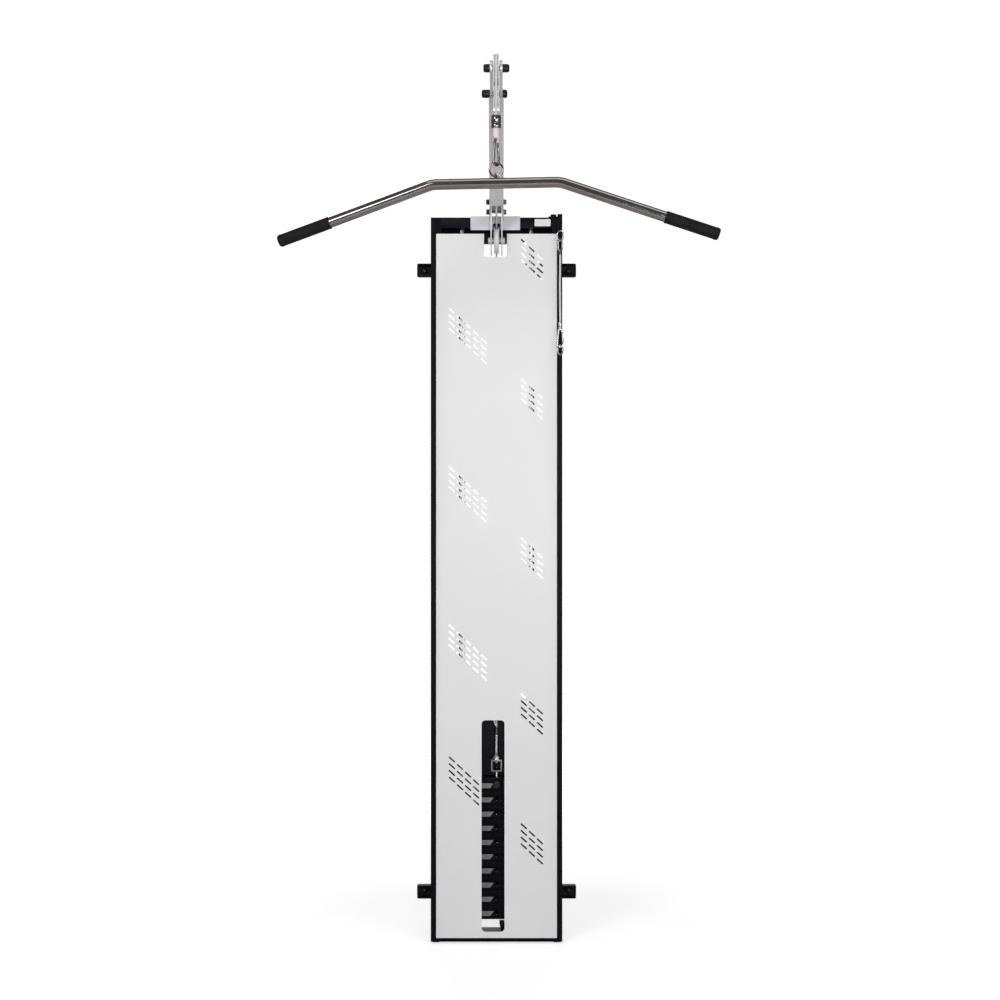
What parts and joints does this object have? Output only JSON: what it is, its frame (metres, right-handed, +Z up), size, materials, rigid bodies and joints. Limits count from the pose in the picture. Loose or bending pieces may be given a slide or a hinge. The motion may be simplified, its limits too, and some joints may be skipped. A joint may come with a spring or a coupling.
{
  "type": "wall-mounted pull-down tower",
  "caption": "Slim wall-mounted pull-down tower with a covered weight stack, forward pulley arm, hanging lat bar and a hanging extension cable.",
  "frame": {"origin": "on the floor at the wall plane, midway between the two uprights", "axes": "+X to the right seen from the front, +Y into the wall so the front faces -Y, +Z up"},
  "size_m": [1.1568, 0.641, 2.452],
  "materials": {
    "frame_black": "satin powder coat",
    "cover_paint": "fine textured powder coat",
    "plate_black": "satin",
    "chrome": "polished",
    "bare_steel": "satin",
    "zinc_steel": "zinc plated",
    "rubber_black": "matte",
    "foot_plastic": "matte",
    "label_grey": "satin film",
    "nylon": "matte",
    "pulley_nylon": "satin",
    "cable_coat": "gloss"
  },
  "bodies": {
    "tower": {"left_upright": "frame_black", "right_upright": "frame_black", "top_crossbar": "frame_black", "bottom_crossbar": "frame_black", "feet": "foot_plastic", "wall_rails": "frame_black", "rail_blocks": "frame_black", "rail_bolts": "zinc_steel", "front_cover": "cover_paint", "cover_brackets": "frame_black", "back_panel": "frame_black", "guide_rods": "chrome", "stack_rests": "frame_black", "stack_bumpers": "rubber_black", "weight_plate_1": "plate_black", "weight_plate_2": "plate_black", "weight_plate_3": "plate_black", "weight_plate_4": "plate_black", "weight_plate_5": "plate_black", "weight_plate_6": "plate_black", "weight_plate_7": "plate_black", "weight_plate_8": "plate_black", "weight_plate_9": "plate_black", "weight_labels": "label_grey", "stack_cable": "cable_coat", "saddle_plate": "bare_steel", "saddle_clamp": "frame_black", "saddle_bolts": "zinc_steel", "arm_cheeks": "bare_steel", "arm_tube": "bare_steel", "arm_bolts": "zinc_steel", "tip_fork": "bare_steel", "pulley_axles": "bare_steel", "axle_caps": "foot_plastic", "arm_cable": "cable_coat", "drop_cable": "cable_coat", "hook_plate": "zinc_steel"},
    "stack_carriage": {"top_plate": "plate_black", "top_label": "label_grey", "plate_bushes": "nylon", "selector_stem": "chrome", "stack_yoke": "zinc_steel", "yoke_nut": "plate_black", "cable_stud": "bare_steel", "cable_crimp": "zinc_steel"},
    "selector_pin": {"selector_pin": "chrome", "pin_knob": "foot_plastic"},
    "cable_end": {"cable_stop": "chrome"},
    "snap_hook": {"hook_sleeve": "nylon", "carabiner": "chrome"},
    "hook_gate": {"carabiner_gate": "chrome"},
    "ring": {"handle_ring": "chrome"},
    "bar": {"lat_bar": "chrome", "bar_grips": "rubber_black"},
    "base_pulley": {"base_pulley": "pulley_nylon"},
    "guide_pulley": {"guide_pulley": "pulley_nylon"},
    "tip_pulley": {"tip_pulley": "pulley_nylon"},
    "ext_line": {"ext_link": "chrome", "ext_cable": "cable_coat", "ext_snap": "chrome"}
  },
  "joints": [
    {"name": "stack_lift", "type": "slide", "parent": "tower", "child": "stack_carriage", "axis": [0, 0, 1], "range_m": [0, 1.2], "deforming": ["stack_cable"]},
    {"name": "pin_pull", "type": "slide", "parent": "stack_carriage", "child": "selector_pin", "axis": [0, 1, 0], "range_m": [-0.034, 0]},
    {"name": "cable_drop", "type": "slide", "parent": "tower", "child": "cable_end", "axis": [0, 0, -1], "range_m": [0, 1.2], "deforming": ["drop_cable"]},
    {"name": "hook_swivel", "type": "hinge", "parent": "cable_end", "child": "snap_hook", "pos_m": [0, -0.565, 2.248], "axis": [0, 0, 1], "range_deg": [-50, 50]},
    {"name": "gate_hinge", "type": "hinge", "parent": "snap_hook", "child": "hook_gate", "pos_m": [0.00411, -0.5601, 2.20823], "axis": [-0.766, 0.6428, 0], "range_deg": [0, 15], "stiffness_Nm_per_rad": 0.2},
    {"name": "ring_swing", "type": "hinge", "parent": "snap_hook", "child": "ring", "pos_m": [0, -0.565, 2.1513], "axis": [0.6428, 0.766, 0], "range_deg": [-20, 20]},
    {"name": "bar_tilt", "type": "hinge", "parent": "ring", "child": "bar", "pos_m": [0, -0.565, 2.1399], "axis": [0.1045, 0.9945, 0], "range_deg": [-12, 12]},
    {"name": "base_spin", "type": "hinge", "parent": "tower", "child": "base_pulley", "pos_m": [0, -0.095, 2.025], "axis": [1, 0, 0], "continuous": true},
    {"name": "guide_spin", "type": "hinge", "parent": "tower", "child": "guide_pulley", "pos_m": [0, -0.4703, 2.35975], "axis": [1, 0, 0], "continuous": true},
    {"name": "tip_spin", "type": "hinge", "parent": "tower", "child": "tip_pulley", "pos_m": [0, -0.53, 2.413], "axis": [1, 0, 0], "continuous": true},
    {"name": "ext_swing", "type": "hinge", "parent": "tower", "child": "ext_line", "pos_m": [0.183, -0.104, 2.0455], "axis": [0, 1, 0], "range_deg": [-40, 40]}
  ],
  "couplings": [
    {"joint": "cable_drop", "follows": "stack_lift", "ratio": 1},
    {"joint": "base_spin", "follows": "stack_lift", "rad_per_m": 28.571},
    {"joint": "guide_spin", "follows": "stack_lift", "rad_per_m": 28.571},
    {"joint": "tip_spin", "follows": "stack_lift", "rad_per_m": 28.571}
  ]
}
